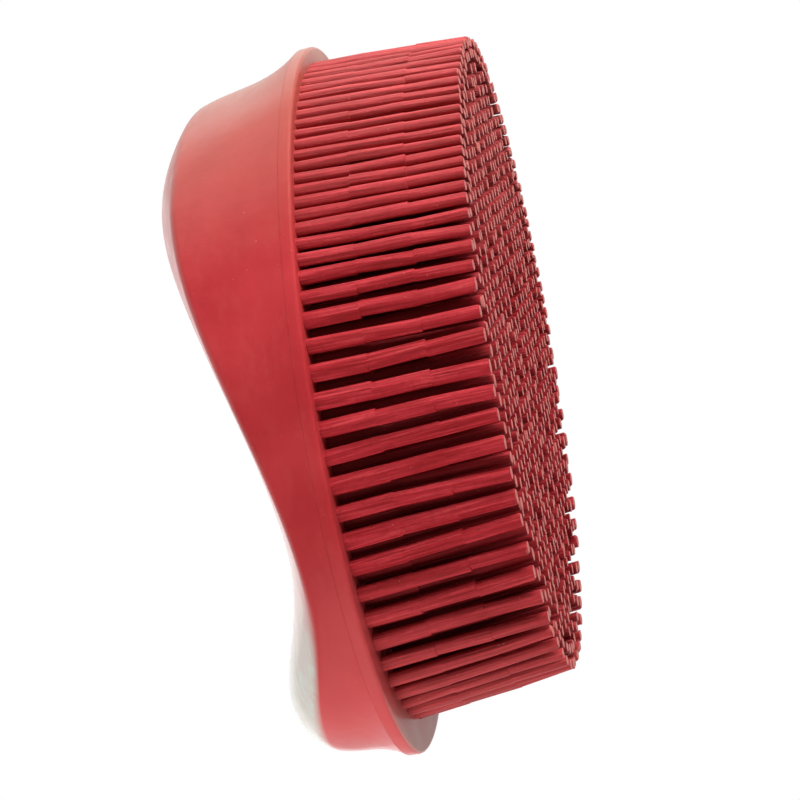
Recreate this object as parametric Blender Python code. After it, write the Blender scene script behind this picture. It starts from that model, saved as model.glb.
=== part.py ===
"""Rubber curry brush, standing on its bristle tips.

Metres, +Z up. X runs along the brush towards the taller lobe of the grip, Y across it.
The origin is on the surface that the bristle tips stand on, below the middle of the oval plate.
"""
import math
from collections import namedtuple

import bmesh
import bpy
from mathutils import Vector
from mathutils.geometry import delaunay_2d_cdt

# Flange and plate, in metres
flange_length = 0.125
flange_width = 0.0712
flange_thickness = 0.0022
flange_edge_rounding = 0.0005
oval_exponent = 1.9

# Bristle field
bristle_length = 0.0274
tip_fan_in_tall_end = 0.0017
tip_fan_in_low_end = 0.0042
tip_fan_in_sides = 0.0044
tip_taper = 0.88
field_margin_tall_end = 0.0030
field_margin_low_end = 0.0056
field_margin_sides = 0.0013
blade_thickness = 0.0021
blade_row_gap = 0.0006
blade_pitch_tall_end = 0.0024
blade_pitch_middle = 0.0045
blade_pitch_low_end = 0.0031
blade_gap_tall_end = 0.0005
blade_gap_middle = 0.0017
blade_gap_low_end = 0.0009
second_row_width_share = 0.80
middle_blades_from = -0.044
middle_blades_to = -0.004
tall_end_blades_from = 0.026
low_end_blades_from = -0.056
bristle_pitch_along = 0.0028
bristle_pitch_across = 0.0038
bristle_size_along = 0.0021
bristle_size_across = 0.0017
bristle_gap_to_blades = 0.0008

# Grip
grip_ledge = 0.0004
grip_wall = 0.0030
wall_draft_tall_end = 0.32
wall_draft_low_end = 0.19
wall_draft_sides = 0.06
crease_height_tall_lobe = 0.0197
crease_height_waist = 0.0051
crease_height_low_lobe = 0.0138
crease_place_tall_lobe = 0.033
crease_place_waist = -0.0368
crease_place_low_lobe = -0.0675
crease_rounding = 0.0012
crown_height_tall_lobe = 0.0318
crown_height_waist = 0.0133
crown_height_low_lobe = 0.0229
crown_place_tall_lobe = 0.0434
crown_place_waist = -0.0281
crown_place_low_lobe = -0.0602
crown_exponent_across = 1.9
crown_exponent_tall_end = 5.0
crown_exponent_low_end = 9.0

# Locating rim, and the frame inside the grip
rim_height = 0.0016
rim_wall = 0.0020
rim_draft = 0.0004
core_plate_above_rib_foot = 0.0007
core_rib_thickness = 0.0020
core_rib_pitch = 0.0180

# Clearances between pieces
seat_gap = 0.0003
rim_clearance = 0.0004
core_clearance = 0.0006

# Facets
points_round = 80
crease_steps = 3
crown_rings_outside = 8
crown_rings_inside = 4
crown_ring_crowding = 1.5


# ---- shared geometry ---------------------------------------------------------------

Oval = namedtuple("Oval", "centre_x half_length half_width")


def oval_inside(oval, tall_end, low_end, sides):
    """The oval drawn in by its own margin at each end and at the sides."""
    half_length = oval.half_length - (tall_end + low_end) / 2
    return Oval(oval.centre_x + (low_end - tall_end) / 2, half_length, oval.half_width - sides)


def inset(oval, margin):
    return oval_inside(oval, margin, margin, margin)


def smooth_step(value, start, end):
    """0 before start, 1 after end, with no corner at either."""
    share = min(max((value - start) / (end - start), 0.0), 1.0)
    return share * share * (3.0 - 2.0 * share)


def signed_power(value, power):
    return math.copysign(abs(value) ** power, value)


def oval_point(oval, turn):
    """A point of the plan oval, which is slightly more pointed than an ellipse."""
    power = 2.0 / oval_exponent
    x = oval.centre_x + oval.half_length * signed_power(math.cos(turn), power)
    y = oval.half_width * signed_power(math.sin(turn), power)
    return Vector((x, y))


def turns_round(count):
    return [2.0 * math.pi * (step + 0.5) / count for step in range(count)]


def oval_loop(oval):
    return [oval_point(oval, turn) for turn in turns_round(points_round)]


def is_inside(oval, point):
    along = abs((point.x - oval.centre_x) / oval.half_length) ** oval_exponent
    across = abs(point.y / oval.half_width) ** oval_exponent
    return along + across <= 1.0


def add_ring(bm, points, z):
    return [bm.verts.new((point.x, point.y, z)) for point in points]


def bridge(bm, lower, upper):
    """Side faces between two rings of equal count, facing out where upper is above lower."""
    count = len(lower)
    for index in range(count):
        after = (index + 1) % count
        bm.faces.new((lower[index], lower[after], upper[after], upper[index]))


def finish_object(bm, name, material, smooth_angle=35.0):
    mesh = bpy.data.meshes.new(name)
    bm.to_mesh(mesh)
    bm.free()
    mesh.shade_smooth()
    mesh.set_sharp_from_angle(angle=math.radians(smooth_angle))
    mesh.materials.append(material)
    piece = bpy.data.objects.new(name, mesh)
    bpy.context.scene.collection.objects.link(piece)
    return piece


def make_material(name, colour, roughness):
    material = bpy.data.materials.new(name)
    material.use_nodes = True
    shader = material.node_tree.nodes["Principled BSDF"]
    shader.inputs["Base Color"].default_value = (*colour, 1.0)
    shader.inputs["Roughness"].default_value = roughness
    shader.inputs["Metallic"].default_value = 0.0
    return material


# ---- places that follow from the dimensions ----------------------------------------

plate_face_z = bristle_length
plate_back_z = bristle_length + flange_thickness
grip_base_z = plate_back_z + seat_gap
core_base_z = plate_back_z + seat_gap
core_rib_foot_z = plate_back_z + rim_height + rim_clearance
core_plate_top_z = core_rib_foot_z + core_plate_above_rib_foot

flange_oval = Oval(0.0, flange_length / 2, flange_width / 2)
field_oval = oval_inside(flange_oval, field_margin_tall_end, field_margin_low_end, field_margin_sides)
tips_oval = oval_inside(field_oval, tip_fan_in_tall_end, tip_fan_in_low_end, tip_fan_in_sides)
grip_oval = inset(flange_oval, grip_ledge)
cavity_oval = inset(grip_oval, grip_wall)
rim_oval = inset(cavity_oval, rim_clearance)
core_oval = inset(rim_oval, rim_draft + rim_wall + rim_clearance)


# ---- grip form ---------------------------------------------------------------------

Line = namedtuple("Line", "tall_place tall_height waist_place waist_height low_place low_height")

crease_line = Line(crease_place_tall_lobe, crease_height_tall_lobe, crease_place_waist,
                   crease_height_waist, crease_place_low_lobe, crease_height_low_lobe)
crown_line = Line(crown_place_tall_lobe, crown_height_tall_lobe, crown_place_waist,
                  crown_height_waist, crown_place_low_lobe, crown_height_low_lobe)


def height_on(line, x):
    """Height above the grip's base of a line with a tall lobe, a waist and a low lobe."""
    towards_tall = smooth_step(x, line.waist_place, line.tall_place)
    towards_low = smooth_step(-x, -line.waist_place, -line.low_place)
    rise_to_tall = (line.tall_height - line.waist_height) * towards_tall
    rise_to_low = (line.low_height - line.waist_height) * towards_low
    return line.waist_height + rise_to_tall + rise_to_low


def crown_share(turn, reach):
    """How far the crown has risen from the crease line, 0, to the crown line, 1.

    reach is 0 in the middle of the plan and just under 1 at the crease. Across the brush the
    crown is a low arch. Along it the arch keeps its height and drops over each end.
    """
    ahead, aside = oval_point(Oval(0.0, reach, reach), turn)
    edge = (1.0 - abs(ahead) ** oval_exponent) ** (1.0 / oval_exponent)
    arch = 1.0 - (abs(aside) / edge) ** crown_exponent_across
    end_exponent = crown_exponent_tall_end if ahead > 0.0 else crown_exponent_low_end
    return arch * (1.0 - abs(ahead) ** end_exponent)


def wall_and_crown(oval, cut, turn, rounding, crown_rings):
    """Points above the base, from the foot of the wall over the crease to near the middle."""
    foot = oval_point(oval, turn)
    wall_height = height_on(crease_line, foot.x) - cut
    crease_oval = oval_inside(oval, wall_draft_tall_end * wall_height,
                              wall_draft_low_end * wall_height, wall_draft_sides * wall_height)
    edge = oval_point(crease_oval, turn)
    middle = Vector((oval.centre_x, 0.0))

    def crown_point(reach):
        plan = middle.lerp(edge, reach)
        low_z = height_on(crease_line, plan.x)
        high_z = height_on(crown_line, plan.x)
        return Vector((plan.x, plan.y, low_z + (high_z - low_z) * crown_share(turn, reach) - cut))

    points = [Vector((foot.x, foot.y, 0.0))]
    corner = Vector((edge.x, edge.y, height_on(crease_line, edge.x) - cut))
    if rounding:
        last_on_wall = corner.lerp(points[0], rounding / corner.z)
        first_reach = 1.0 - rounding / (edge - middle).length
        first_on_crown = crown_point(first_reach)
        for step in range(crease_steps):
            share = step / (crease_steps - 1)
            below = last_on_wall.lerp(corner, share)
            above = corner.lerp(first_on_crown, share)
            points.append(below.lerp(above, share))
    else:
        first_reach = 1.0
        points.append(corner)
    for ring in range(1, crown_rings):
        points.append(crown_point(first_reach * (1.0 - (ring / crown_rings) ** crown_ring_crowding)))
    return points


def grip_form(bm, oval, base_z, cut, rounding, crown_rings):
    """The skin of the grip's form from its open base to a pole on the crown. Gives the base ring."""
    columns = []
    for turn in turns_round(points_round):
        points = wall_and_crown(oval, cut, turn, rounding, crown_rings)
        columns.append([bm.verts.new((point.x, point.y, base_z + point.z)) for point in points])
    rings = list(zip(*columns))
    pole = bm.verts.new((oval.centre_x, 0.0, base_z + height_on(crown_line, oval.centre_x) - cut))
    for lower, upper in zip(rings, rings[1:]):
        bridge(bm, lower, upper)
    for index in range(points_round):
        bm.faces.new((rings[-1][index], rings[-1][(index + 1) % points_round], pole))
    return rings[0]


# ---- bristle pad -------------------------------------------------------------------

def blade_size_at(x, tall_end, middle, low_end):
    """A blade dimension that keeps its middle value between the two ends' own."""
    towards_tall = smooth_step(x, middle_blades_to, tall_end_blades_from)
    towards_low = smooth_step(-x, -middle_blades_from, -low_end_blades_from)
    return middle + (tall_end - middle) * towards_tall + (low_end - middle) * towards_low


def root_corners(centre, along, width, thickness):
    half = along * width / 2
    side = Vector((-along.y, along.x)) * thickness / 2
    return [centre - half - side, centre + half - side, centre + half + side, centre - half + side]


def blade_pitch_at(x):
    return blade_size_at(x, blade_pitch_tall_end, blade_pitch_middle, blade_pitch_low_end)


def blade_width_at(x):
    return blade_pitch_at(x) - blade_size_at(x, blade_gap_tall_end, blade_gap_middle, blade_gap_low_end)


def blade_roots():
    """Two staggered rows of wide flat blades round the oval, closer together at the tall end."""
    oval = inset(field_oval, blade_thickness / 2)
    steps = 1440
    walk = [oval_point(oval, 2.0 * math.pi * step / steps) for step in range(steps + 1)]
    pitches_passed = [0.0]
    for here, after in zip(walk, walk[1:]):
        pitches_passed.append(pitches_passed[-1] + (after - here).length / blade_pitch_at(here.x))
    count = 2 * round(pitches_passed[-1] / 2)
    second_row_depth = blade_thickness + blade_row_gap
    rows = [(0.0, 0.5, 1.0), (second_row_depth, 0.0, second_row_width_share)]
    roots = []
    for depth, stagger, width_share in rows:
        step = 0
        for blade in range(count):
            wanted = (blade + stagger) / count * pitches_passed[-1]
            while pitches_passed[step + 1] < wanted:
                step += 1
            step_pitches = pitches_passed[step + 1] - pitches_passed[step]
            on_walk = walk[step].lerp(walk[step + 1], (wanted - pitches_passed[step]) / step_pitches)
            along = (walk[step + 1] - walk[step]).normalized()
            inwards = Vector((-along.y, along.x))
            centre = on_walk + inwards * depth
            width = blade_width_at(on_walk.x) * width_share
            roots.append(root_corners(centre, along, width, blade_thickness))
    return roots


def bristle_roots():
    """Finer bristles in staggered columns that fill the oval inside the blades."""
    blades_depth = 2 * blade_thickness + blade_row_gap
    oval = inset(field_oval, blades_depth + bristle_gap_to_blades)
    columns = math.ceil(oval.half_width / bristle_pitch_across)
    rows = math.ceil(oval.half_length / bristle_pitch_along)
    along = Vector((1.0, 0.0))
    roots = []
    for column in range(-columns, columns + 1):
        stagger = 0.5 * (column % 2)
        for row in range(-rows, rows + 1):
            x = oval.centre_x + (row + stagger) * bristle_pitch_along
            centre = Vector((x, column * bristle_pitch_across))
            corners = root_corners(centre, along, bristle_size_along, bristle_size_across)
            if all(is_inside(oval, corner) for corner in corners):
                roots.append(corners)
    return roots


def tip_corners(corners):
    """The tip of a bristle: tapered about its own middle, in the smaller oval of the tips."""
    centre = sum(corners, Vector((0.0, 0.0))) / len(corners)
    along = (centre.x - field_oval.centre_x) * tips_oval.half_length / field_oval.half_length
    across = centre.y * tips_oval.half_width / field_oval.half_width
    tip_centre = Vector((tips_oval.centre_x + along, across))
    return [tip_centre + (corner - centre) * tip_taper for corner in corners]


def build_bristle_pad(material):
    bm = bmesh.new()
    roots = blade_roots() + bristle_roots()

    # The plate's lower face is a flat net between the flange's edge and the bristle roots.
    edge_loop = oval_loop(inset(flange_oval, flange_edge_rounding))
    points = list(edge_loop)
    owner = [None] * len(points)
    borders = [(index, (index + 1) % len(points)) for index in range(len(points))]
    for number, corners in enumerate(roots):
        first = len(points)
        points.extend(corners)
        owner.extend([number] * 4)
        borders.extend((first + side, first + (side + 1) % 4) for side in range(4))
    net_points, _, net_faces, sources, _, _ = delaunay_2d_cdt(points, borders, [], 1, 1e-9)
    net = add_ring(bm, net_points, plate_face_z)
    vert_of = {origins[0]: net[index] for index, origins in enumerate(sources) if origins}
    for face in net_faces:
        owners = {owner[sources[index][0]] for index in face}
        if len(owners) > 1 or None in owners:
            bm.faces.new([net[index] for index in reversed(face)])

    # Each bristle grows down from its root to a flat tip on the ground.
    for number, corners in enumerate(roots):
        first = len(edge_loop) + 4 * number
        root = [vert_of[first + side] for side in range(4)]
        tip = add_ring(bm, tip_corners(corners), 0.0)
        bridge(bm, tip, root)
        bm.faces.new(list(reversed(tip)))

    # The flange's rounded edge, the plate's back, and the locating rim that the grip fits over.
    rim_top_z = plate_back_z + rim_height
    rim_top_oval = inset(rim_oval, rim_draft)
    rim_inner_oval = inset(rim_top_oval, rim_wall)
    profile = [
        (flange_oval, plate_face_z + flange_edge_rounding),
        (flange_oval, plate_back_z - flange_edge_rounding),
        (inset(flange_oval, flange_edge_rounding), plate_back_z),
        (rim_oval, plate_back_z),
        (rim_top_oval, rim_top_z),
        (rim_inner_oval, rim_top_z),
        (rim_inner_oval, plate_back_z),
    ]
    loops = [[vert_of[index] for index in range(len(edge_loop))]]
    loops.extend(add_ring(bm, oval_loop(oval), z) for oval, z in profile)
    for lower, upper in zip(loops, loops[1:]):
        bridge(bm, lower, upper)
    bm.faces.new(loops[-1])
    return finish_object(bm, "bristle_pad", material)


# ---- grip --------------------------------------------------------------------------

def build_handle_shell(material):
    """A hollow moulding, open towards the plate."""
    bm = bmesh.new()
    outer_mouth = grip_form(bm, grip_oval, grip_base_z, 0.0, crease_rounding, crown_rings_outside)
    outer_faces = set(bm.faces)
    inner_mouth = grip_form(bm, cavity_oval, grip_base_z, grip_wall, 0.0, crown_rings_inside)
    inner_faces = [face for face in bm.faces if face not in outer_faces]
    bmesh.ops.reverse_faces(bm, faces=inner_faces)
    bridge(bm, inner_mouth, outer_mouth)
    return finish_object(bm, "handle_shell", material)


# ---- frame inside the grip ---------------------------------------------------------

def make_guide(bm, name, material, collection):
    """A shape that only cuts or joins another one."""
    guide = finish_object(bm, name, material)
    bpy.context.scene.collection.objects.unlink(guide)
    collection.objects.link(guide)
    guide.hide_render = True
    guide.display_type = 'WIRE'
    return guide


def add_slab(bm, low, high):
    """A closed rectangular slab between two opposite corners."""
    made = bmesh.ops.create_cube(bm, size=1.0)
    bmesh.ops.scale(bm, vec=Vector(high) - Vector(low), verts=made["verts"])
    bmesh.ops.translate(bm, vec=(Vector(low) + Vector(high)) / 2, verts=made["verts"])


def build_core_frame(material):
    ribs = bpy.data.collections.new("core_ribs")
    forms = bpy.data.collections.new("core_forms")
    bpy.context.scene.collection.children.link(ribs)
    bpy.context.scene.collection.children.link(forms)

    # An oval base plate that lies inside the locating rim.
    bm = bmesh.new()
    outline = oval_loop(core_oval)
    bottom = add_ring(bm, outline, core_base_z)
    top = add_ring(bm, outline, core_plate_top_z)
    bm.faces.new(list(reversed(bottom)))
    bridge(bm, bottom, top)
    bm.faces.new(top)
    frame = finish_object(bm, "core_frame", material)

    # A spine and cross ribs, taller than the cavity until the cavity's own form trims them.
    rib_top_z = grip_base_z + max(crown_height_low_lobe, crown_height_tall_lobe)
    half_rib = core_rib_thickness / 2
    half_width = cavity_oval.half_width
    low_x = cavity_oval.centre_x - cavity_oval.half_length
    high_x = cavity_oval.centre_x + cavity_oval.half_length
    spans = [((low_x, -half_rib), (high_x, half_rib))]
    cross_count = math.floor(core_oval.half_length / core_rib_pitch - 0.5)
    for step in range(-cross_count, cross_count + 1):
        x = core_oval.centre_x + step * core_rib_pitch
        spans.append(((x - half_rib, -half_width), (x + half_rib, half_width)))
    for number, (low, high) in enumerate(spans):
        bm = bmesh.new()
        add_slab(bm, (*low, core_rib_foot_z), (*high, rib_top_z))
        make_guide(bm, f"rib_guide_{number}", material, ribs)

    # The cavity's form, drawn in by the clearance and lengthened below the plate.
    form_oval = inset(cavity_oval, core_clearance)
    bm = bmesh.new()
    mouth = grip_form(bm, form_oval, core_base_z, grip_wall + core_clearance, 0.0, crown_rings_inside)
    skirt = add_ring(bm, oval_loop(form_oval), core_base_z - rim_height)
    bridge(bm, skirt, mouth)
    bm.faces.new(list(reversed(skirt)))
    form = make_guide(bm, "cavity_guide", material, forms)

    union = frame.modifiers.new("ribs", 'BOOLEAN')
    union.operation = 'UNION'
    union.operand_type = 'COLLECTION'
    union.collection = ribs
    trim = frame.modifiers.new("trim_to_cavity", 'BOOLEAN')
    trim.operation = 'INTERSECT'
    trim.object = form
    return frame


# ---- build -------------------------------------------------------------------------

for old in list(bpy.data.objects):
    bpy.data.objects.remove(old, do_unlink=True)

pad_rubber = make_material("pad_rubber", (0.46, 0.035, 0.042), 0.42)
grip_rubber = make_material("grip_rubber", (0.47, 0.040, 0.047), 0.36)
core_plastic = make_material("core_plastic", (0.30, 0.30, 0.31), 0.55)

build_bristle_pad(pad_rubber)
build_handle_shell(grip_rubber)
build_core_frame(core_plastic)
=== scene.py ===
import math

import bpy
import numpy as np
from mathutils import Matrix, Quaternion, Vector


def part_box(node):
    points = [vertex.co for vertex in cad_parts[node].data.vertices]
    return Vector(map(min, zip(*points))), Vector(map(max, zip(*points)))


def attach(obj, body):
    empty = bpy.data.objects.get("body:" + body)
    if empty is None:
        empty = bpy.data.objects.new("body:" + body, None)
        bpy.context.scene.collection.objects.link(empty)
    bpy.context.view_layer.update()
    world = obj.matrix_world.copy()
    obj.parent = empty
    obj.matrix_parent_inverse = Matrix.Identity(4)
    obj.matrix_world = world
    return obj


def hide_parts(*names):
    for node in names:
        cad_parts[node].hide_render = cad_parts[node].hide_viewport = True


# Fine surfaces and finishes for a rubber curry brush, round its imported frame.
# Metres, +Z up. The bristle tips stand on z = 0, and +X points to the taller lobe of the grip.

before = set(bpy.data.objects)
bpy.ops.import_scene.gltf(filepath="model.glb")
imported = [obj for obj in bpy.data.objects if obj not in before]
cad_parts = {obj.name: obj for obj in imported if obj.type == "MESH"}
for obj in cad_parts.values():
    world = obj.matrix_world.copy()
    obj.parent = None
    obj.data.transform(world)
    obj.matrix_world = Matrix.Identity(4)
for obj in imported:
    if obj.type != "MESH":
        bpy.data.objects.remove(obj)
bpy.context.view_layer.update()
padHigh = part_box("bristle_pad")[1]
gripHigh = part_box("handle_shell")[1]
print("frame loaded:", sorted(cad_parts))

# The flat oval that every piece follows. An oval is (centre x, half length, half width).
plan = {
    "exponent": 1.9,            # 2 is an ellipse, less is more pointed at the ends
    "bristleLength": 0.0274,
    "flangeThickness": 0.0022,
    "jointGap": 0.00002,        # between the flange and the grip, too fine to see
    "gripInset": 0.00003,       # the grip stands almost flush with the flange
}
flangeOval = (0.0, padHigh.x, padHigh.y)
plateFace = plan["bristleLength"]                  # height of the face the bristles grow from
plateBack = plateFace + plan["flangeThickness"]


def smoothStep(value, start, end):
    # 0 before start and 1 after end, with no corner at either: 3s^2 - 2s^3
    share = np.clip((value - start) / (end - start), 0.0, 1.0)
    return share * share * (3.0 - 2.0 * share)


def signedPower(value, power):
    # |value|^power, with the sign of value
    return np.sign(value) * np.abs(value) ** power


def ovalInside(oval, tallEnd, lowEnd, sides):
    # The oval drawn in by a margin of its own at each end, and at both sides
    centreX, halfLength, halfWidth = oval
    return (centreX + (lowEnd - tallEnd) / 2, halfLength - (tallEnd + lowEnd) / 2, halfWidth - sides)


def inset(oval, margin):
    return ovalInside(oval, margin, margin, margin)


def ovalAt(oval, turn):
    # x = centre + a * signed cos(turn)^(2/n), y = b * signed sin(turn)^(2/n)
    power = 2.0 / plan["exponent"]
    return oval[0] + oval[1] * signedPower(np.cos(turn), power), oval[2] * signedPower(np.sin(turn), power)


def turnsRound(count):
    # Equal turns round the plan, half a step off its axes: 2 pi (i + 1/2) / count
    return 2.0 * math.pi * (np.arange(count) + 0.5) / count


def ringBands(first, rings, count):
    # Corner numbers of the quads between rings of equal count, numbered ring after ring from first
    ring = first + count * np.arange(rings - 1)[:, None]
    here = np.arange(count)[None, :]
    after = (here + 1) % count
    return np.stack([ring + here, ring + after, ring + count + after, ring + count + here], -1).reshape(-1, 4)


def poleFan(first, count, pole):
    # Corner numbers of the triangles between a ring, numbered from first, and the point in its middle
    here = np.arange(count)
    return np.stack([first + here, first + (here + 1) % count, np.full(count, pole)], -1)


def makePiece(name, points, faceSets, material, node, sharpAngle, values=None):
    # points is an array of places, faceSets are arrays of corner numbers, one row for each face
    corners = np.concatenate([faces.ravel() for faces in faceSets])
    sizes = np.concatenate([np.full(len(faces), faces.shape[1]) for faces in faceSets])
    starts = np.concatenate([[0], np.cumsum(sizes)[:-1]])
    mesh = bpy.data.meshes.new(name)
    mesh.vertices.add(len(points))
    mesh.vertices.foreach_set("co", np.asarray(points, np.float32).ravel())
    mesh.loops.add(len(corners))
    mesh.loops.foreach_set("vertex_index", corners.astype(np.int32))
    mesh.polygons.add(len(sizes))
    mesh.polygons.foreach_set("loop_start", starts.astype(np.int32))
    mesh.update(calc_edges=True)
    mesh.validate()
    for valueName, (kind, array) in (values or {}).items():
        entry = "vector" if kind == "FLOAT_VECTOR" else "value"
        attribute = mesh.attributes.new(valueName, kind, "POINT")
        attribute.data.foreach_set(entry, np.asarray(array, np.float32).ravel())
    mesh.shade_smooth()
    mesh.set_sharp_from_angle(angle=math.radians(sharpAngle))
    mesh.materials.append(material)
    piece = bpy.data.objects.new(name, mesh)
    bpy.context.scene.collection.objects.link(piece)
    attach(piece, "root")
    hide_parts(node)
    print(f"{name}: {len(points)} points, {len(sizes)} faces")


class NodeTree:
    # A short way to add nodes and join them
    def __init__(self, name):
        self.material = bpy.data.materials.new(name)
        self.material.use_nodes = True
        self.tree = self.material.node_tree
        self.shader = self.tree.nodes["Principled BSDF"]

    def add(self, kind, inputs=None, **settings):
        node = self.tree.nodes.new(kind)
        for key, value in settings.items():
            setattr(node, key, value)
        for key, value in (inputs or {}).items():
            if isinstance(value, bpy.types.NodeSocket):
                self.tree.links.new(value, node.inputs[key])
            else:
                node.inputs[key].default_value = value
        return node

    def coordinates(self):
        return self.add("ShaderNodeTexCoord").outputs["Object"]

    def facing(self):
        return self.add("ShaderNodeTexCoord").outputs["Normal"]

    def axis(self, vector, name):
        return self.add("ShaderNodeSeparateXYZ", {0: vector}).outputs[name]

    def attribute(self, name, output="Fac"):
        return self.add("ShaderNodeAttribute", attribute_name=name).outputs[output]

    def stretched(self, vector, scale):
        return self.add("ShaderNodeMapping", {"Vector": vector, "Scale": scale}).outputs["Vector"]

    def noise(self, vector, scale, detail=3.0, roughness=0.55):
        inputs = {"Vector": vector, "Scale": scale, "Detail": detail, "Roughness": roughness}
        return self.add("ShaderNodeTexNoise", inputs).outputs["Fac"]

    def remap(self, value, fromLow, fromHigh, toLow=0.0, toHigh=1.0):
        inputs = {"Value": value, "From Min": fromLow, "From Max": fromHigh}
        inputs.update({"To Min": toLow, "To Max": toHigh})
        return self.add("ShaderNodeMapRange", inputs).outputs["Result"]

    def math(self, operation, first, second):
        return self.add("ShaderNodeMath", {0: first, 1: second}, operation=operation).outputs[0]

    def mix(self, share, first, second):
        # Of a colour mix, input 0 is the share, 6 and 7 are the colours, and output 2 is the mixed colour
        node = self.add("ShaderNodeMix", data_type="RGBA")
        for socket, value in ((0, share), (6, first), (7, second)):
            if isinstance(value, bpy.types.NodeSocket):
                self.tree.links.new(value, node.inputs[socket])
            else:
                node.inputs[socket].default_value = value if socket == 0 else (*value, 1.0)
        return node.outputs[2]

    def bump(self, height, distance, under=None):
        inputs = {"Height": height, "Distance": distance, "Strength": 1.0}
        if under is not None:
            inputs["Normal"] = under
        return self.add("ShaderNodeBump", inputs).outputs["Normal"]

    def finish(self, colour, roughness, normal, fixed):
        self.tree.links.new(colour, self.shader.inputs["Base Color"])
        self.tree.links.new(roughness, self.shader.inputs["Roughness"])
        self.tree.links.new(normal, self.shader.inputs["Normal"])
        for key, value in fixed.items():
            self.shader.inputs[key].default_value = value
        return self.material

    def speckled(self, colour, place, finish):
        # Scattered specks of dust, wherever a fine noise stands above a level
        specks = self.noise(place, finish["specksPerMetre"], detail=1.0)
        level = finish["speckAbove"]
        share = self.remap(specks, level, level + finish["speckFade"], 0.0, finish["speckShare"])
        return self.mix(share, colour, finish["dust"])


# Bristle rubber: drag lines along each bristle, a tone of its own, worn tips with a painted highlight,
# painted highlights at both ends, painted shade behind the first row and specks of dust.
bristleFinish = {
    "red": (0.64, 0.036, 0.054),
    "deepRed": (0.29, 0.011, 0.013),
    "paleRed": (0.68, 0.110, 0.100),
    "dust": (0.80, 0.36, 0.32),
    "linesPerMetre": 2600.0, "lineStretch": 0.035,
    "redLines": (0.34, 0.66),           # of the line noise, from deep red to red
    "paleLines": (0.55, 0.80), "paleLineShare": 0.60,
    "toneShare": 0.25,                  # how much deeper the deepest bristle is
    "cloudsPerMetre": 90.0, "clouds": (0.45, 0.75), "cloudShare": 0.35,
    "mottlePerMetre": 1100.0, "mottle": (0.48, 0.72), "mottleShare": 0.38,
    "paintedEndHighlight": (0.70, 0.19, 0.17),        # painted highlight: paler bristles at the two ends
    "paintedEndHighlightTallEnd": (0.010, 0.050, 0.0, 0.27),      # from x, to x, from share, to share
    "paintedEndHighlightLowEnd": (-0.034, -0.057, 0.0, 0.20),
    "paintedShade": (0.19, 0.010, 0.011),    # painted shade on the bristles behind the first row, less near the tips
    "paintedShadeRun": (0.0, 0.9, 0.76, 0.42),           # from run, to run, from share, to share
    "wornTipAndHighlight": (0.93, 0.295, 0.250),  # the flat ends, worn pale, with a painted highlight
    "wornTipAndHighlightSlope": (-0.60, -0.95, 0.0, 0.66),
    "wornTipAndHighlightRun": (0.97, 0.99),
    "specksPerMetre": 2600.0, "speckAbove": 0.775, "speckFade": 0.03, "speckShare": 0.6,
    "roughness": (0.3, 0.7, 0.42, 0.56),            # from and to in the line noise, then the roughness there
    "dragLineDepth": 0.00022,
    "grainPerMetre": 5200.0, "grainDepth": 0.00005,
    "ior": 1.36,
}


def bristleRubber(name, finish):
    # barSpace is a place along and across a bristle, barTone a number of its own, and barRun the share of
    # the way from root to tip. barInner is 1 behind the first row.
    made = NodeTree(name)
    place = made.coordinates()
    alongBrush = made.axis(place, "X")
    run = made.attribute("barRun")
    lineSpace = made.stretched(made.attribute("barSpace", "Vector"), (1.0, 1.0, finish["lineStretch"]))
    lines = made.noise(lineSpace, finish["linesPerMetre"])
    grain = made.noise(place, finish["grainPerMetre"], detail=2.0)
    cloud = made.noise(place, finish["cloudsPerMetre"])
    mottle = made.noise(place, finish["mottlePerMetre"], detail=2.0)
    colour = made.mix(made.remap(lines, *finish["redLines"]), finish["deepRed"], finish["red"])
    paleLines = made.remap(lines, *finish["paleLines"], 0.0, finish["paleLineShare"])
    colour = made.mix(paleLines, colour, finish["paleRed"])
    tone = made.remap(made.attribute("barTone"), 0.0, 1.0, 0.0, finish["toneShare"])
    colour = made.mix(tone, colour, finish["deepRed"])
    deeper = made.remap(cloud, *finish["clouds"], 0.0, finish["cloudShare"])
    colour = made.mix(deeper, colour, finish["deepRed"])
    mottled = made.remap(mottle, *finish["mottle"], 0.0, finish["mottleShare"])
    colour = made.mix(mottled, colour, finish["deepRed"])
    # painted highlight: paler bristles towards both ends
    paintedEndHighlightTallEnd = made.remap(alongBrush, *finish["paintedEndHighlightTallEnd"])
    paintedEndHighlightLowEnd = made.remap(alongBrush, *finish["paintedEndHighlightLowEnd"])
    colour = made.mix(made.math("MAXIMUM", paintedEndHighlightTallEnd, paintedEndHighlightLowEnd), colour, finish["paintedEndHighlight"])
    # painted shade: darker bristles behind the first row, most at the roots
    paintedShade = made.math("MULTIPLY", made.attribute("barInner"), made.remap(run, *finish["paintedShadeRun"]))
    colour = made.mix(paintedShade, colour, finish["paintedShade"])
    # worn tips, with a painted highlight on the flat ends that look down
    flatEnd = made.remap(made.axis(made.facing(), "Z"), *finish["wornTipAndHighlightSlope"])
    wornTipAndHighlight = made.math("MULTIPLY", flatEnd, made.remap(run, *finish["wornTipAndHighlightRun"]))
    colour = made.mix(wornTipAndHighlight, colour, finish["wornTipAndHighlight"])
    colour = made.speckled(colour, place, finish)
    roughness = made.remap(lines, *finish["roughness"])
    normal = made.bump(lines, finish["dragLineDepth"], made.bump(grain, finish["grainDepth"]))
    return made.finish(colour, roughness, normal, {"IOR": finish["ior"], "Metallic": 0.0})
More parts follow.
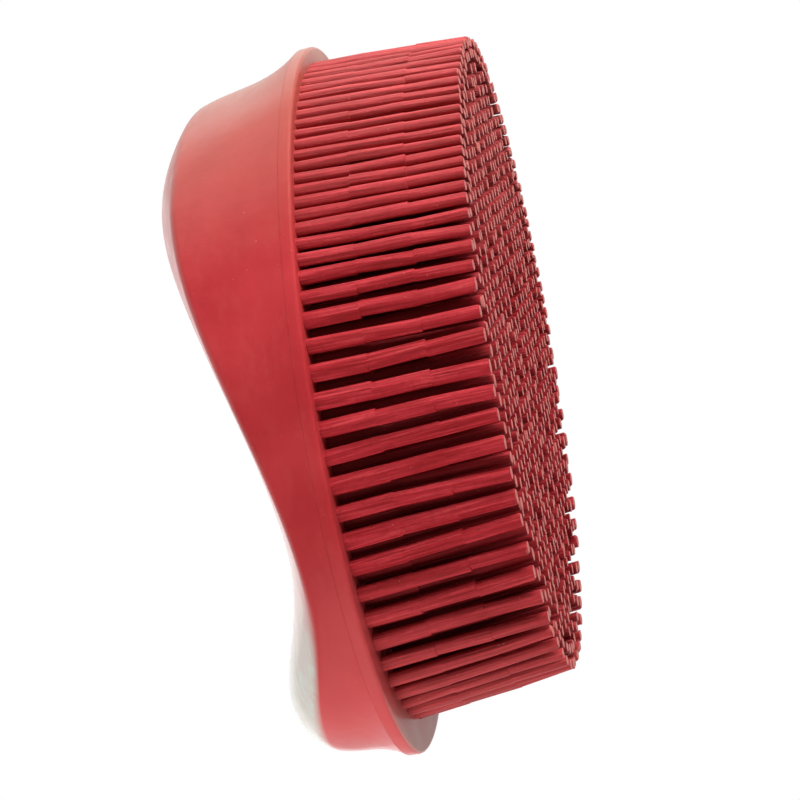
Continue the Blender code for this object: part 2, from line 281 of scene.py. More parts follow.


# Grip rubber: one smooth red moulding with a soft sheen, faint clouds, rubbed pale patches and specks,
# painted light at the low end, painted sheen and highlight at the tall end, dust with painted sheen under the
# flange's ends, and dust with painted reflection on the faces that look up.
gripFinish = {
    "red": (0.575, 0.042, 0.048),
    "deepRed": (0.49, 0.029, 0.035),
    "paleRed": (0.62, 0.095, 0.085),
    "dust": (0.80, 0.42, 0.38),
    "cloudsPerMetre": 75.0, "clouds": (0.35, 0.65),
    "patchesPerMetre": 210.0, "patchStretch": 2.2, "patchRoughness": 0.62,
    "patches": (0.50, 0.80), "patchShare": 0.25,
    "specksPerMetre": 2000.0, "speckAbove": 0.785, "speckFade": 0.03, "speckShare": 0.6,
    "paintedLowEndLight": (0.80, 0.125, 0.125),     # painted light: paler rubber at the low end
    "paintedLowEndLightPlace": (-0.028, -0.058, 0.0, 0.62),     # from x, to x, from share, to share
    "paintedTallEndSheen": (0.34, 0.115, 0.065),      # painted sheen: a dull brown haze at the tall end
    "paintedTallEndSheenPlace": (0.016, 0.050, 0.0, 0.55),
    "paintedEndWallHighlight": (0.46, 0.36, 0.31),       # painted highlight on the end wall of the tall lobe, where it faces +X
    "paintedEndWallHighlightSlope": (0.50, 0.97, 0.0, 0.62),
    "endDustAndSheen": ((0.95, 0.50, 0.41), (0.52, 0.32, 0.26)),    # dust and painted sheen under the flange: at the low and tall end
    "endDustAndSheenPlace": (0.052, 0.060, 0.0, 0.70),      # from the middle, past the bristles
    "endDustAndSheenSlope": (-0.5, -0.9),
    "endDustAndSheenTurn": (-0.01, 0.01),       # in x, where its low end's colour gives way to the tall end's
    "dustAndReflection": (0.66, 0.71, 0.63),      # dust and painted reflection on the faces that look up
    "dustAndReflectionSlope": (0.30, 0.62),
    "dustAndReflectionHeight": (0.0345, 0.0375),  # none lies on the flare above the flange
    "dustAndReflectionPlace": (-0.020, -0.048, 0.06, 0.98),   # hardly any on the tall lobe
    "streaksPerMetre": 900.0, "streakStretch": 0.3, "streakRoughness": 0.6,
    "streaks": (0.35, 0.65, 0.74, 1.0),
    "roughness": (0.3, 0.7, 0.34, 0.46),            # from and to in the patch noise, then the roughness there
    "swellPerMetre": 140.0, "swellDepth": 0.00020,
    "grainPerMetre": 3600.0, "grainDepth": 0.00002,
    "ior": 1.45,
    "coatWeight": 0.7, "coatRoughness": 0.13, "coatIor": 1.5,
    "polishPlace": (-0.005, -0.030, 0.20, 0.62),    # share of the coat, more on the low lobe
    "sheenWeight": 0.12, "sheenRoughness": 0.30, "sheenTint": (0.90, 0.90, 0.82),
}


def gripRubber(name, finish):
    made = NodeTree(name)
    place = made.coordinates()
    alongBrush = made.axis(place, "X")
    facingX = made.axis(made.facing(), "X")
    facingZ = made.axis(made.facing(), "Z")
    cloud = made.noise(place, finish["cloudsPerMetre"], detail=4.0)
    patchSpace = made.stretched(place, (1.0, 1.0, finish["patchStretch"]))
    patch = made.noise(patchSpace, finish["patchesPerMetre"], detail=4.0, roughness=finish["patchRoughness"])
    grain = made.noise(place, finish["grainPerMetre"], detail=2.0)
    colour = made.mix(made.remap(cloud, *finish["clouds"]), finish["deepRed"], finish["red"])
    patched = made.remap(patch, *finish["patches"], 0.0, finish["patchShare"])
    colour = made.mix(patched, colour, finish["paleRed"])
    colour = made.speckled(colour, place, finish)
    # painted light: paler towards the low end
    colour = made.mix(made.remap(alongBrush, *finish["paintedLowEndLightPlace"]), colour, finish["paintedLowEndLight"])
    # painted sheen: a dull brown haze towards the tall end
    colour = made.mix(made.remap(alongBrush, *finish["paintedTallEndSheenPlace"]), colour, finish["paintedTallEndSheen"])
    # painted highlight where the wall faces +X
    colour = made.mix(made.remap(facingX, *finish["paintedEndWallHighlightSlope"]), colour, finish["paintedEndWallHighlight"])
    # dust and painted sheen on the faces that look down, past the bristles at both ends
    fromMiddle = made.math("ABSOLUTE", alongBrush, 0.0)
    endDustAndSheen = made.math("MULTIPLY", made.remap(fromMiddle, *finish["endDustAndSheenPlace"]),
                        made.remap(facingZ, *finish["endDustAndSheenSlope"]))
    endDustAndSheenColour = made.mix(made.remap(alongBrush, *finish["endDustAndSheenTurn"]), *finish["endDustAndSheen"])
    colour = made.mix(endDustAndSheen, colour, endDustAndSheenColour)
    streakSpace = made.stretched(place, (finish["streakStretch"], 1.0, 1.0))
    streaks = made.noise(streakSpace, finish["streaksPerMetre"], detail=4.0,
                         roughness=finish["streakRoughness"])
    # dust and painted reflection on the faces that look up, mostly on the low lobe
    dustAndReflection = made.math("MULTIPLY", made.remap(facingZ, *finish["dustAndReflectionSlope"]),
                        made.remap(streaks, *finish["streaks"]))
    dustAndReflection = made.math("MULTIPLY", dustAndReflection, made.remap(made.axis(place, "Z"), *finish["dustAndReflectionHeight"]))
    dustAndReflection = made.math("MULTIPLY", dustAndReflection, made.remap(alongBrush, *finish["dustAndReflectionPlace"]))
    colour = made.mix(dustAndReflection, colour, finish["dustAndReflection"])
    roughness = made.remap(patch, *finish["roughness"])
    swell = made.bump(made.noise(place, finish["swellPerMetre"], detail=2.0), finish["swellDepth"])
    normal = made.bump(grain, finish["grainDepth"], swell)
    coat = made.math("MULTIPLY", made.remap(alongBrush, *finish["polishPlace"]), finish["coatWeight"])
    made.tree.links.new(coat, made.shader.inputs["Coat Weight"])
    fixed = {
        "IOR": finish["ior"], "Metallic": 0.0,
        "Coat Roughness": finish["coatRoughness"], "Coat IOR": finish["coatIor"],
        "Sheen Weight": finish["sheenWeight"], "Sheen Roughness": finish["sheenRoughness"],
        "Sheen Tint": (*finish["sheenTint"], 1.0),
    }
    return made.finish(colour, roughness, normal, fixed)


# The plate is of the same rubber, with less polish than the grip
plateFinish = {**gripFinish, "coatWeight": 0.35, "sheenWeight": 0.04}


# Core plastic: a plain grey moulding, only seen when the brush is taken apart.
coreFinish = {
    "grey": (0.30, 0.30, 0.31),
    "darkGrey": (0.22, 0.22, 0.23),
    "cloudsPerMetre": 60.0, "clouds": (0.35, 0.65),
    "grainPerMetre": 2400.0, "grainDepth": 0.00003,
    "roughness": (0.3, 0.7, 0.48, 0.62),
    "ior": 1.5,
}


def corePlastic(name, finish):
    made = NodeTree(name)
    place = made.coordinates()
    grain = made.noise(place, finish["grainPerMetre"])
    cloud = made.noise(place, finish["cloudsPerMetre"])
    colour = made.mix(made.remap(cloud, *finish["clouds"]), finish["darkGrey"], finish["grey"])
    roughness = made.remap(grain, *finish["roughness"])
    normal = made.bump(grain, finish["grainDepth"])
    return made.finish(colour, roughness, normal, {"IOR": finish["ior"], "Metallic": 0.0})


bristleMaterial = bristleRubber("bristleRubber", bristleFinish)
gripMaterial = gripRubber("gripRubber", gripFinish)
plateMaterial = gripRubber("plateRubber", plateFinish)
coreMaterial = corePlastic("corePlastic", coreFinish)
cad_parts["core_frame"].data.materials[0] = coreMaterial
print("finishes made")


# The plate that carries the bristles, with its flange and locating rim.
padPlate = {
    "lowerRounding": 0.0006,
    "upperRounding": 0.00005,
    "edgeSteps": 5,
    "rimHeight": 0.0016,
    "rimWall": 0.0020,
    "rimDraft": 0.0004,
    "rimInset": 0.0034,         # from the grip's outline to the rim
    "pointsRound": 240,
    "faceRings": 26,
    "faceReach": (0.04, 0.98),  # share of the way out at which the first and last of them lie
    "sharpAngle": 50.0,
}
gripOval = inset(flangeOval, plan["gripInset"])


def makePadPlate(part):
    # A profile of (oval, height) steps carried round the plan: face, edge, back, rim, and the back inside it.
    # The edge's corners are quarter circles, the lower one in by r (1 - sin a) and up by r (1 - cos a).
    count = part["pointsRound"]
    turn = turnsRound(count)
    below, above = part["lowerRounding"], part["upperRounding"]
    innerOval = inset(flangeOval, below)
    profile = [((flangeOval[0], innerOval[1] * share, innerOval[2] * share), plateFace)
               for share in np.linspace(*part["faceReach"], part["faceRings"])]
    for angle in np.linspace(0.0, math.pi / 2, part["edgeSteps"]):
        away, up = 1 - math.sin(angle), 1 - math.cos(angle)
        profile.append((inset(flangeOval, below * away), plateFace + below * up))
    for angle in np.linspace(0.0, math.pi / 2, part["edgeSteps"]):
        away, up = 1 - math.cos(angle), 1 - math.sin(angle)
        profile.append((inset(flangeOval, above * away), plateBack - above * up))
    rimOval = inset(gripOval, part["rimInset"])
    rimTopOval = inset(rimOval, part["rimDraft"])
    rimInnerOval = inset(rimTopOval, part["rimWall"])
    profile += [(rimOval, plateBack), (rimTopOval, plateBack + part["rimHeight"]),
                (rimInnerOval, plateBack + part["rimHeight"]), (rimInnerOval, plateBack)]
    rings = []
    for oval, height in profile:
        x, y = ovalAt(oval, turn)
        rings.append(np.stack([x, y, np.full(count, height)], -1))
    points = np.concatenate(rings + [np.array([[0.0, 0.0, plateFace], [0.0, 0.0, plateBack]])])
    facePole, backPole = len(points) - 2, len(points) - 1
    bands = ringBands(0, len(rings), count)
    faceFan = poleFan(0, count, facePole)[:, ::-1]
    backFan = poleFan(count * (len(rings) - 1), count, backPole)
    makePiece("padPlate", points, [bands, faceFan, backFan], plateMaterial,
              "bristle_pad", part["sharpAngle"])


# The bristles' layout: two staggered rows of wide flat blades, and columns of finer bristles inside them.
field = {
    "flange": (0.0, 0.0625, 0.0356),        # the flange's true oval, which the frame's flats lie just inside
    "margins": (0.0030, 0.0056, 0.0013),    # from the flange to the roots: tall end, low end, sides
    "fanIn": (0.0017, 0.0042, 0.0044),      # from the roots to the tips, likewise
    "rootDepth": 0.0003,        # how far a bristle's foot goes into the plate
    "tipTaper": 0.97,           # on top of the moulded steps
    "tipRounding": 0.0003, "tipDrawIn": 0.10,
    "stepAt": (0.002, 0.003),   # share of the length before and after a moulded step
    "stepLip": 0.012,           # how much a bristle swells just before a step
    "jog": 0.00008,             # how far a step may stand out of line
    "spacesApart": (0.037, 0.011),          # keeps each bristle's noise its own
    "shortPower": 3,            # most bristles are nearly of full length
    "leanPower": 5,             # how quickly the room to lean grows with width
    "sharpAngle": 38.0,
}
fieldOval = ovalInside(field["flange"], *field["margins"])
tipsOval = ovalInside(fieldOval, *field["fanIn"])

bladeRows = {
    "thickness": 0.0021,
    "rowGap": 0.0006, "rowGapTallEnd": 0.0001,
    "tallEnd": (0.030, 0.054),                  # where the rows draw closer, in x
    "pitches": (0.0024, 0.0045, 0.0031),        # tall end, middle, low end
    "widths": (0.0021, 0.0028, 0.0022),
    "middle": (-0.044, -0.004),                 # where the middle's sizes hold, in x
    "ends": (-0.056, 0.026),                    # where the ends' own sizes begin
    "secondRowWidth": 0.95,
    "walkSteps": 1440,
    "widthSpread": 0.10,
    "pointsRound": 14,
    "sectionPower": 2.1,        # 2 is an ellipse, more is squarer
    "steps": 3, "stepSize": 0.060,              # moulded lengths, and how far each next one draws in
    "shortBy": 0.0003, "bow": 0.00010, "twist": 0.03,
    "lean": (0.00024, 0.000096),                # each bristle's own, in x and y
    "sways": ((11, 0.00050), (16, 0.00050), (25, 0.00034)),     # waves round the ring, and how far each leans
}
bristleField = {
    "pitchAlong": 0.0024, "pitchAcross": 0.0031,
    "sizeAlong": 0.0020, "sizeAcross": 0.0013,
    "gapToBlades": 0.0003, "gapTallEnd": 0.0001,
    "cornerShare": 0.75,        # how much of a bristle must stand inside the field, its corners being round
    "widthSpread": 0.08,
    "pointsRound": 8,
    "sectionPower": 3.4,
    "steps": 2, "stepSize": 0.04,
    "shortBy": 0.0006, "bow": 0.00008, "twist": 0.06,
    "lean": (0.00014, 0.00014),
    "sways": (),
}


def bladeSizeAt(x, part, sizes):
    # The middle's size, with a smooth step to each end's own
    tallEnd, middle, lowEnd = sizes
    toTall = (tallEnd - middle) * smoothStep(x, part["middle"][1], part["ends"][1])
    return middle + toTall + (lowEnd - middle) * smoothStep(-x, -part["middle"][0], -part["ends"][0])


def bladeRoots(part):
    # Walk round the oval, count the pitches passed, and stand a blade at each equal share.
    # The second row stands further in, behind the gaps of the first.
    oval = inset(fieldOval, part["thickness"] / 2)
    x, y = ovalAt(oval, np.linspace(0.0, 2.0 * math.pi, part["walkSteps"] + 1))
    pitch = bladeSizeAt(x[:-1], part, part["pitches"])
    passed = np.concatenate([[0.0], np.cumsum(np.hypot(np.diff(x), np.diff(y)) / pitch)])
    count = 2 * round(passed[-1] / 2)
    centres, alongs, widths = [], [], []
    for row, stagger, widthShare in ((0, 0.5, 1.0), (1, 0.0, part["secondRowWidth"])):
        wanted = (np.arange(count) + stagger) / count * passed[-1]
        step = np.clip(np.searchsorted(passed, wanted) - 1, 0, len(pitch) - 1)
        along = np.stack([np.diff(x)[step], np.diff(y)[step]], -1)
        along /= np.linalg.norm(along, axis=1, keepdims=True)
        onWalk = np.stack([np.interp(wanted, passed, x), np.interp(wanted, passed, y)], -1)
        closer = (part["rowGap"] - part["rowGapTallEnd"]) * smoothStep(onWalk[:, 0], *part["tallEnd"])
        depth = row * (part["thickness"] + part["rowGap"] - closer)
        centres.append(onWalk + depth[:, None] * np.stack([-along[:, 1], along[:, 0]], -1))
        alongs.append(along)
        widths.append(widthShare * bladeSizeAt(onWalk[:, 0], part, part["widths"]))
    inner = np.repeat([0.0, 1.0], count)
    thickness = np.full(2 * count, part["thickness"])
    return np.concatenate(centres), np.concatenate(alongs), np.concatenate(widths), thickness, inner


def bristleRoots(part):
    # Columns side by side, every second one moved half a pitch, kept where the rounded corners are inside
    atSides = 2 * bladeRows["thickness"] + bladeRows["rowGap"] + part["gapToBlades"]
    atTallEnd = 2 * bladeRows["thickness"] + bladeRows["rowGapTallEnd"] + part["gapTallEnd"]
    oval = ovalInside(fieldOval, atTallEnd, atSides, atSides)
    firstX = oval[0] + oval[1] - part["cornerShare"] * part["sizeAlong"] / 2
    columns = math.ceil(oval[2] / part["pitchAcross"])
    rows = math.ceil(oval[1] / part["pitchAlong"])
    column, row = np.meshgrid(np.arange(-columns, columns + 1), np.arange(2 * rows), indexing="ij")
    x = (firstX - (row + 0.5 * (column % 2)) * part["pitchAlong"]).ravel()
    y = (column * part["pitchAcross"]).ravel()
    reachX = np.abs(x - oval[0]) + part["cornerShare"] * part["sizeAlong"] / 2
    reachY = np.abs(y) + part["cornerShare"] * part["sizeAcross"] / 2
    inside = (reachX / oval[1]) ** plan["exponent"] + (reachY / oval[2]) ** plan["exponent"] <= 1.0
    centre = np.stack([x[inside], y[inside]], -1)
    every = np.ones(len(centre))
    along = np.tile([1.0, 0.0], (len(centre), 1))
    return centre, along, part["sizeAlong"] * every, part["sizeAcross"] * every, every


def steppedStations(part):
    # (share of the length, size) steps. The section draws in a little at each moulded step, so each has two.
    stations = [(0.0, 1.0)]
    before, after = field["stepAt"]
    for number in range(1, part["steps"]):
        share = number / part["steps"]
        stations.append((share - before, 1.0 - part["stepSize"] * (number - 1) + field["stepLip"]))
        stations.append((share + after, 1.0 - part["stepSize"] * number))
    last = 1.0 - part["stepSize"] * (part["steps"] - 1)
    stations.append((1.0 - field["tipRounding"] / plan["bristleLength"], last))
    stations.append((1.0, last - field["tipDrawIn"]))
    return np.array(stations)


def makeBristles(name, part, roots, rng):
    # A superellipse section carried from root to tip:
    # u = half width * signed cos(angle)^(2/n), v = half thickness * signed sin(angle)^(2/n)
    centre, along, width, thickness, inner = roots
    count, around = len(centre), part["pointsRound"]
    share, size = steppedStations(part).T
    steps = len(share)
    width = width * (1.0 + part["widthSpread"] * rng.uniform(-1.0, 1.0, count))
    side = np.stack([-along[:, 1], along[:, 0]], -1)
    tipX = tipsOval[0] + (centre[:, 0] - fieldOval[0]) * tipsOval[1] / fieldOval[1]
    tipY = centre[:, 1] * tipsOval[2] / fieldOval[2]
    roundRing = np.arctan2(centre[:, 1], centre[:, 0])
    sway = np.zeros(count)
    for waves, reach in part["sways"]:          # neighbours sway together, and both rows alike
        sway += reach * np.sin(roundRing * waves + waves)
    lean = rng.normal(0.0, 1.0, (count, 2)) * part["lean"] + sway[:, None] * along
    room = (width / width.max()) ** field["leanPower"]          # the wider ones have more room to lean
    tip = np.stack([tipX, tipY], -1) + room[:, None] * lean
    tipZ = part["shortBy"] * rng.random(count) ** field["shortPower"]
    bow = rng.normal(0.0, part["bow"], (count, 2))
    twist = rng.normal(0.0, part["twist"], count)
    tone = rng.random(count)
    jog = rng.normal(0.0, field["jog"], (count, steps, 2))
    jog[:, 0] = 0.0
    angle = turnsRound(around)
    power = 2.0 / part["sectionPower"]
    u = signedPower(np.cos(angle), power)
    v = signedPower(np.sin(angle), power)
    s = share[None, :, None]
    middle = centre[:, None] * (1 - s) + tip[:, None] * s + bow[:, None] * np.sin(math.pi * s) + jog
    scale = (size * (1 - (1 - field["tipTaper"]) * share))[None, :, None]
    turned = twist[:, None, None] * s
    localU = u * width[:, None, None] / 2 * scale
    localV = v * thickness[:, None, None] / 2 * scale
    turnedU = localU * np.cos(turned) - localV * np.sin(turned)
    turnedV = localU * np.sin(turned) + localV * np.cos(turned)
    outline = turnedU[..., None] * along[:, None, None] + turnedV[..., None] * side[:, None, None]
    rootZ = plateFace + field["rootDepth"]
    z = rootZ + (tipZ[:, None] - rootZ) * share[None, :]
    shape = localU.shape
    height = np.broadcast_to(z[:, :, None, None], shape + (1,))
    points = np.concatenate([middle[:, :, None] + outline, height], -1)
    number = np.arange(count)[:, None, None]
    apartU, apartV = field["spacesApart"]
    run = np.broadcast_to(s, shape)
    barSpace = np.stack([localU + apartU * number, localV + apartV * number, run * plan["bristleLength"]], -1)
    values = {
        "barSpace": ("FLOAT_VECTOR", barSpace),
        "barTone": ("FLOAT", np.broadcast_to(tone[:, None, None], shape)),
        "barRun": ("FLOAT", run),
        "barInner": ("FLOAT", np.broadcast_to(inner[:, None, None], shape)),
    }
    band = ringBands(0, steps, around)[:, ::-1]
    first = np.arange(count) * steps * around
    bands = (band[None] + first[:, None, None]).reshape(-1, 4)
    rootCap = np.arange(around)[None] + first[:, None]
    tipCap = (rootCap + (steps - 1) * around)[:, ::-1]
    makePiece(name, points.reshape(-1, 3), [bands, tipCap, rootCap], bristleMaterial,
              "bristle_pad", field["sharpAngle"], values)


rng = np.random.default_rng(41)
makePadPlate(padPlate)
makeBristles("bladeRows", bladeRows, bladeRoots(bladeRows), rng)
makeBristles("bristleField", bristleField, bristleRoots(bristleField), rng)


# The grip: a hollow shell. A ruled wall rises to a crease, and an arched crown spans between the creases.
grip = {
    "wall": 0.0030,
    "wallDraft": (0.32, 0.19, 0.06),                # tall end, low end, sides: drawn in per unit of height
    "creaseLine": ((0.033, 0.0197), (-0.0368, 0.0051), (-0.0675, 0.0138)),    # tall lobe, waist, low lobe
    "crownLine": ((0.0434, 0.0318), (-0.0281, 0.0133), (-0.0602, 0.0229)),    # each (place, height)
    "creaseRounding": 0.0012, "creaseRoundingInside": 0.0002,
    "crownPower": 1.9,
    "endPowers": (5.0, 10.0),   # tall end, low end
    "hollowing": (0.0014, 0.0007),      # how far the wall curves in above the flange: tall end, low end
    "hollowFrom": (0.7, 1.0),   # share of the way from the middle to an end where it sets in
    "crowding": 1.5,            # rings lie closer together towards the crease
    "pointsRound": 320,
    "wallRings": 16, "creaseRings": 9, "crownRings": 64,
    "sharpAngle": 50.0,
}


def heightOn(line, x):
    # A line of lobes: smooth steps from the waist up to each lobe
    (tallX, tallZ), (waistX, waistZ), (lowX, lowZ) = line
    toTall = (tallZ - waistZ) * smoothStep(x, waistX, tallX)
    return waistZ + toTall + (lowZ - waistZ) * smoothStep(-x, -waistX, -lowX)


def gripForm(oval, part, cut):
    # Wall, at a share s of the way up: a straight line from foot to crease. Outside, its two ends are drawn
    # in by hollowing * 6.75 * s * (1 - s)^2, which is the whole hollowing a third of the way up.
    # Crown, at a share u of the way out to the crease:
    # crease line + (crown line - crease line) * (1 - across^p) * (1 - along^q)
    turn = turnsRound(part["pointsRound"])
    footX, footY = ovalAt(oval, turn)
    wallHeight = heightOn(part["creaseLine"], footX) - cut
    tallEnd, lowEnd, sides = (draft * wallHeight for draft in part["wallDraft"])
    creaseX, creaseY = ovalAt(ovalInside(oval, tallEnd, lowEnd, sides), turn)
    foot = np.stack([footX, footY, np.zeros_like(turn)], -1)
    corner = np.stack([creaseX, creaseY, heightOn(part["creaseLine"], creaseX) - cut], -1)
    unitX, unitY = ovalAt((0.0, 1.0, 1.0), turn)

    def crownAt(u):
        x, y = oval[0] + (creaseX - oval[0]) * u, creaseY * u
        ahead, aside = unitX * u, np.abs(unitY * u)
        edge = (1.0 - np.abs(ahead) ** plan["exponent"]) ** (1.0 / plan["exponent"])
        endPower = np.where(ahead > 0, *part["endPowers"])
        rise = (1.0 - (aside / edge) ** part["crownPower"]) * (1.0 - np.abs(ahead) ** endPower)
        low, high = heightOn(part["creaseLine"], x), heightOn(part["crownLine"], x)
        return np.stack([x, y, low + (high - low) * rise - cut], -1)

    outside = cut == 0.0
    rounding = part["creaseRounding"] if outside else part["creaseRoundingInside"]
    wallShare = (1.0 - rounding / corner[:, 2])[:, None]
    firstReach = 1.0 - rounding / np.hypot(creaseX - oval[0], creaseY)
    lastOnWall = foot + (corner - foot) * wallShare
    firstOnCrown = crownAt(firstReach)
    hollowing = np.where(unitX > 0, *part["hollowing"]) * smoothStep(np.abs(unitX), *part["hollowFrom"])
    flat = np.zeros_like(turn)
    inwards = np.stack([-np.sign(unitX) * hollowing * outside, flat, flat], -1)
    rings = [foot + (lastOnWall - foot) * s + inwards * 6.75 * s * (1 - s) ** 2
             for s in np.linspace(0.0, 1.0, part["wallRings"])]
    for s in np.linspace(0.0, 1.0, part["creaseRings"])[1:]:
        below = lastOnWall + (corner - lastOnWall) * s
        above = corner + (firstOnCrown - corner) * s
        rings.append(below + (above - below) * s)
    for ring in range(1, part["crownRings"]):
        rings.append(crownAt(firstReach * (1.0 - (ring / part["crownRings"]) ** part["crowding"])))
    pole = np.array([[oval[0], 0.0, heightOn(part["crownLine"], oval[0]) - cut]])
    points = np.concatenate(rings + [pole])
    return points, len(rings)


def makeGrip(part):
    # The outer form, an inner one a wall's thickness within it, and the mouth between them
    count = part["pointsRound"]
    base = plateBack + plan["jointGap"]
    outer, outerRings = gripForm(gripOval, part, 0.0)
    inner, innerRings = gripForm(inset(gripOval, part["wall"]), part, part["wall"])
    top = outer[:, 2].max()
    outer[:, 2] = base + outer[:, 2] * min((gripHigh.z - base) / top, 1.0)
    inner[:, 2] += base
    start = len(outer)
    outerFaces = [ringBands(0, outerRings, count), poleFan(count * (outerRings - 1), count, start - 1)]
    innerFaces = [ringBands(start, innerRings, count)[:, ::-1],
                  poleFan(start + count * (innerRings - 1), count, start + len(inner) - 1)[:, ::-1]]
    here = np.arange(count)
    after = (here + 1) % count
    mouth = np.stack([start + here, start + after, after, here], -1)
    makePiece("gripShell", np.concatenate([outer, inner]), outerFaces + innerFaces + [mouth], gripMaterial,
              "handle_shell", part["sharpAngle"])


makeGrip(grip)


# A pale floor under the bristle tips. It shows only from above, so that light reaches the tips from below.
studio = {
    "floorHalf": 9.0,
    "floorDrop": 0.0003,                  # below the tips
    "floorColour": (0.80, 0.80, 0.80),
    "fadeFrom": 0.3, "fadeTo": 1.6,       # how far out the floor melts into the white surround
    "worldLight": 0.12,
    "mirrored": (0.06, 0.78),             # brightness that gloss shows: in front of the brush, and behind it
    "mirrorFade": (-0.20, 0.60),          # where one gives way to the other, in the direction's y
}


def makeFloor(part):
    half, drop = part["floorHalf"], -part["floorDrop"]
    mesh = bpy.data.meshes.new("floor")
    corners = [(-half, -half, drop), (half, -half, drop), (half, half, drop), (-half, half, drop)]
    mesh.from_pydata(corners, [], [(0, 1, 2, 3)])
    floor = bpy.data.objects.new("floor", mesh)
    bpy.context.scene.collection.objects.link(floor)
    material = bpy.data.materials.new("floorPaper")
    material.use_nodes = True
    nodes, links = material.node_tree.nodes, material.node_tree.links
    nodes.clear()
    output = nodes.new("ShaderNodeOutputMaterial")
    paper = nodes.new("ShaderNodeBsdfDiffuse")
    paper.inputs["Color"].default_value = (*part["floorColour"], 1.0)
    white = nodes.new("ShaderNodeEmission")
    clear = nodes.new("ShaderNodeBsdfTransparent")
    place = nodes.new("ShaderNodeTexCoord")
    reach = nodes.new("ShaderNodeVectorMath")
    reach.operation = "LENGTH"
    fade = nodes.new("ShaderNodeMapRange")
    fade.interpolation_type = "SMOOTHSTEP"
    fade.inputs["From Min"].default_value = part["fadeFrom"]
    fade.inputs["From Max"].default_value = part["fadeTo"]
    links.new(place.outputs["Object"], reach.inputs[0])
    links.new(reach.outputs["Value"], fade.inputs["Value"])
    surface = nodes.new("ShaderNodeMixShader")
    links.new(fade.outputs["Result"], surface.inputs[0])
    links.new(paper.outputs[0], surface.inputs[1])
    links.new(white.outputs[0], surface.inputs[2])
    path = nodes.new("ShaderNodeLightPath")
    side = nodes.new("ShaderNodeNewGeometry")
    front = nodes.new("ShaderNodeMath")
    front.operation = "SUBTRACT"
    links.new(path.outputs["Is Camera Ray"], front.inputs[0])
    links.new(side.outputs["Backfacing"], front.inputs[1])
    front.use_clamp = True
    shown = nodes.new("ShaderNodeMixShader")
    links.new(front.outputs[0], shown.inputs[0])
    links.new(clear.outputs[0], shown.inputs[1])
    links.new(surface.outputs[0], shown.inputs[2])
    links.new(shown.outputs[0], output.inputs["Surface"])
    mesh.materials.append(material)


def makeWorld(part):
    # White to the camera. Gloss sees a white backdrop behind the brush (+Y) and a dimmer room before it.
    world = bpy.data.worlds.new("studioWorld")
    bpy.context.scene.world = world
    world.use_nodes = True
    nodes, links = world.node_tree.nodes, world.node_tree.links
    light = nodes["Background"]
    light.inputs["Color"].default_value = (1.0, 1.0, 1.0, 1.0)
    path = nodes.new("ShaderNodeLightPath")
    direction = nodes.new("ShaderNodeSeparateXYZ")
    links.new(nodes.new("ShaderNodeTexCoord").outputs["Generated"], direction.inputs[0])
    mirrored = nodes.new("ShaderNodeMapRange")
    mirrored.interpolation_type = "SMOOTHSTEP"
    for ends, values in (("From", part["mirrorFade"]), ("To", part["mirrored"])):
        mirrored.inputs[ends + " Min"].default_value = values[0]
        mirrored.inputs[ends + " Max"].default_value = values[1]
    links.new(direction.outputs["Y"], mirrored.inputs["Value"])
    plain = nodes.new("ShaderNodeMix")
    plain.inputs["A"].default_value = part["worldLight"]
    links.new(path.outputs["Is Glossy Ray"], plain.inputs["Factor"])
    links.new(mirrored.outputs["Result"], plain.inputs["B"])
    clear = nodes.new("ShaderNodeMath")
    clear.operation = "MAXIMUM"
    links.new(path.outputs["Is Camera Ray"], clear.inputs[0])
    links.new(path.outputs["Is Transmission Ray"], clear.inputs[1])
    strength = nodes.new("ShaderNodeMix")
    links.new(clear.outputs[0], strength.inputs["Factor"])
    links.new(plain.outputs["Result"], strength.inputs["A"])
    strength.inputs["B"].default_value = 1.0
    links.new(strength.outputs["Result"], light.inputs["Strength"])


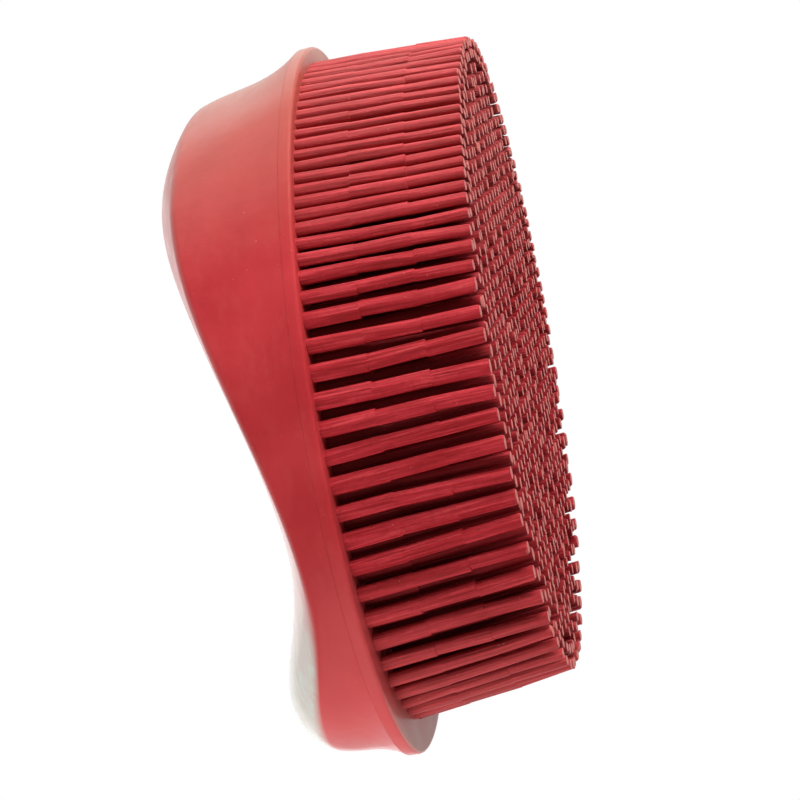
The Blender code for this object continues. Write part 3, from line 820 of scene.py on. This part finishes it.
# Soft boxes, each aimed at the middle of the brush. level is brightness against white.
softBoxes = {
    "keyBox": {"place": (0.61, -0.25, -0.25), "size": 0.50, "level": 10.7, "inGloss": False},
    "fillBox": {"place": (-0.78, -0.38, 0.08), "size": 0.80, "level": 3.5, "inGloss": False},
    "endBox": {"place": (0.83, -0.10, 0.33), "size": 0.90, "level": 0.9, "inGloss": True},
    "backBox": {"place": (0.00, 0.80, 0.40), "size": 0.80, "level": 0.80, "inGloss": True},
    "topBox": {"place": (0.10, 0.05, 0.80), "size": 0.80, "level": 1.9, "inGloss": False},
}
lightAim = Vector((0.0, 0.0, 0.03))


def makeSoftBox(name, part):
    lamp = bpy.data.lights.new(name, "AREA")
    lamp.shape = "SQUARE"
    lamp.size = part["size"]
    lamp.energy = part["level"] * math.pi * part["size"] ** 2
    holder = bpy.data.objects.new(name, lamp)
    bpy.context.scene.collection.objects.link(holder)
    holder.location = part["place"]
    holder.rotation_mode = "QUATERNION"
    holder.rotation_quaternion = (lightAim - Vector(part["place"])).to_track_quat("-Z", "Y")
    holder.visible_camera = False
    holder.visible_glossy = part["inGloss"]


view = {
    "aim": (-0.00279, 0.0, 0.02265),
    "azimuth": -11.54, "elevation": -14.48,     # degrees; below the tips' plane, so that the tips show
    "roll": -101.05,            # stands the brush on its end
    "distance": 0.32422,
    "lens": 84.88,
    "sensor": 36.0,
    "clip": (0.01, 20.0),
}


def makeCamera(part):
    azimuth, elevation = math.radians(part["azimuth"]), math.radians(part["elevation"])
    out = math.cos(elevation)
    back = Vector((math.sin(azimuth) * out, -math.cos(azimuth) * out, math.sin(elevation)))
    camera = bpy.data.cameras.new("camera")
    camera.lens = part["lens"]
    camera.sensor_width = part["sensor"]
    camera.clip_start, camera.clip_end = part["clip"]
    holder = bpy.data.objects.new("camera", camera)
    bpy.context.scene.collection.objects.link(holder)
    holder.location = Vector(part["aim"]) + back * part["distance"]
    holder.rotation_mode = "QUATERNION"
    level = (-back).to_track_quat("-Z", "Y")
    holder.rotation_quaternion = level @ Quaternion((0.0, 0.0, 1.0), math.radians(part["roll"]))
    bpy.context.scene.camera = holder


makeFloor(studio)
makeWorld(studio)
for boxName, box in softBoxes.items():
    makeSoftBox(boxName, box)
makeCamera(view)
bpy.context.scene.view_settings.view_transform = "Standard"
print("studio made")
